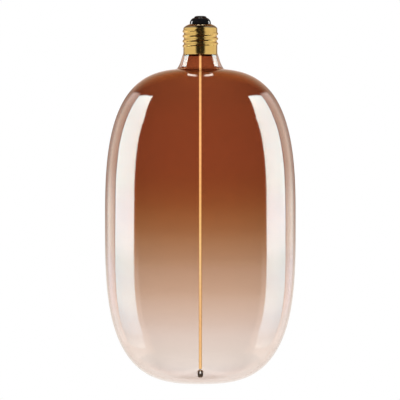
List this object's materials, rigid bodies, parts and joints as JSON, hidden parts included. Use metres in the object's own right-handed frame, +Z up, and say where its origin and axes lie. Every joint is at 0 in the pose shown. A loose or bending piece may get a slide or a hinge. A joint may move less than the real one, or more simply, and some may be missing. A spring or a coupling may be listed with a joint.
{
  "type": "smart light bulb",
  "caption": "Tall rounded glass filament lamp with a brass screw cap, one long straight LED filament hanging on its axis, and a radio dimmer packed in the cap.",
  "frame": {"origin": "centre of the screw cap's rim, where the brass meets the glass neck", "axes": "+Z up along the lamp's axis, from the glass to the centre contact and the lampholder; +X right and -Y towards the viewer of the front; the filament swings about X"},
  "size_m": [0.14, 0.14, 0.2701],
  "materials": {
    "brass": "bright polished brass sheet",
    "black_insulator": "glossy black moulded insulator",
    "tinned_contact": "dark polished tinned metal",
    "solder": "satin solder",
    "red_insulation": "red wire insulation",
    "blue_insulation": "blue wire insulation",
    "cement": "matt capping cement",
    "polyester_film": "amber insulating film",
    "copper_tinted_glass": "clear glass with a copper-brown tint that fades out downwards",
    "clear_glass": "clear glass",
    "nickel_wire": "bright nickel wire and tab",
    "green_board": "green solder mask",
    "capacitor_sleeve": "dark shrink sleeve",
    "red_dip": "glossy dipped body",
    "ferrite": "matt ferrite",
    "copper_wire": "enamelled copper",
    "resistor_body": "lacquered body",
    "black_package": "moulded chip package",
    "chip_parts": "chip resistors and capacitors",
    "blue_board": "blue solder mask",
    "tin_shield": "pressed tin plate",
    "white_substrate": "white ceramic strip",
    "led_die": "blue LED die",
    "phosphor": "warm phosphor silicone, emissive when lit",
    "chromed_bead": "mirror chrome"
  },
  "bodies": {
    "lamp": {"screw_shell": "brass", "cap_insulator": "black_insulator", "centre_contact": "tinned_contact", "contact_solder": "solder", "live_wire": "red_insulation", "neutral_wire": "blue_insulation", "shell_solder": "solder", "cap_cement": "cement", "insulating_sleeve": "polyester_film", "glass_neck": "copper_tinted_glass", "glass_envelope": "copper_tinted_glass", "stem_seal": "clear_glass", "exhaust_tube": "clear_glass", "left_support_wire": "nickel_wire", "right_support_wire": "nickel_wire", "driver_board": "green_board", "reservoir_capacitor": "capacitor_sleeve", "film_capacitor": "red_dip", "choke_core": "ferrite", "choke_winding": "copper_wire", "fusible_resistor": "resistor_body", "bridge_rectifier": "black_package", "driver_chip": "black_package", "dimmer_transistor": "black_package", "small_components": "chip_parts", "radio_board": "blue_board", "radio_chip": "black_package", "radio_shield": "tin_shield", "board_header": "black_package", "antenna_loop": "copper_wire"},
    "filament": {"left_terminal": "nickel_wire", "right_terminal": "nickel_wire", "filament_substrate": "white_substrate", "led_chips": "led_die", "return_track": "copper_wire", "filament_coating": "phosphor", "tail_ferrule": "nickel_wire", "end_bead": "chromed_bead"}
  },
  "joints": [
    {"name": "filament_swing", "type": "hinge", "parent": "lamp", "child": "filament", "pos_m": [0, 0, 0.0034], "axis": [1, 0, 0], "range_deg": [-7, 7]}
  ]
}
